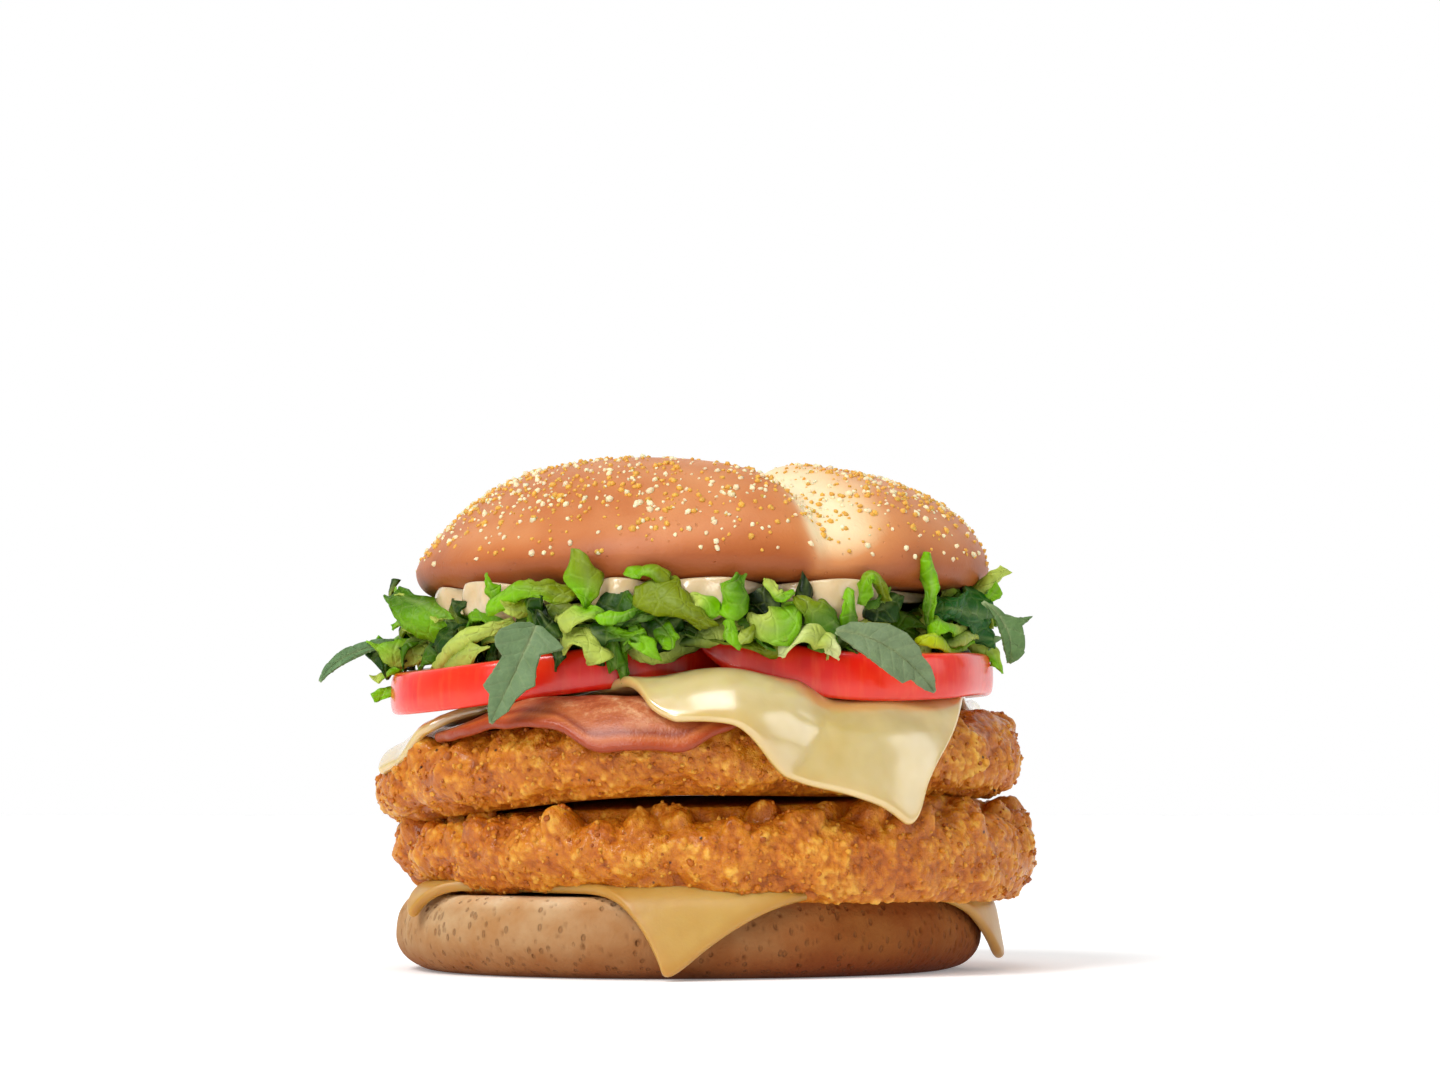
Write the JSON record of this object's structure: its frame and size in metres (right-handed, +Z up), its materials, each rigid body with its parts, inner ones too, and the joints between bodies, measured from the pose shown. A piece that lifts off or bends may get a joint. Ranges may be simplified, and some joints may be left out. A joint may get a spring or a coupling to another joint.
{
  "type": "double chicken burger",
  "caption": "Stacked burger: lower bun, cheese, breaded patties, bacon, tomato, lettuce and rocket, sauce, and a twisted upper bun with corn grits.",
  "frame": {"origin": "middle of the flat base of the lower bun", "axes": "+Z up through the stack; the front, where the cheese corner and the bacon hang out, faces -Y; +X to the right seen from the front"},
  "size_m": [0.1232, 0.1134, 0.0877],
  "materials": {
    "bun": "soft matte bread side, pale tan",
    "crust": "baked crust, soft sheen, golden brown",
    "yellow_cheese": "smooth processed cheese, soft gloss",
    "pale_cheese": "melted pale cheese, soft gloss",
    "breadcrumb": "fried craggy breadcrumb, oily glints",
    "bacon": "grilled bacon, greasy",
    "tomato": "wet tomato skin, glossy",
    "sauce": "creamy sauce with mustard bits, glossy",
    "rocket": "matte leaf, grey green",
    "lettuce": "crisp leaf, light to dark green"
  },
  "bodies": {
    "root": {"bun_heel": "bun", "cheese_lower": "yellow_cheese", "patty_lower": "breadcrumb", "patty_upper": "breadcrumb", "bacon": "bacon", "cheese_upper": "pale_cheese", "tomato_left": "tomato", "tomato_right": "tomato", "sauce": "sauce", "rocket_front_left": "rocket", "rocket_front_right": "rocket", "rocket_far_left": "rocket", "rocket_right": "rocket", "salad": "lettuce", "bun_crown": "crust"}
  },
  "joints": []
}
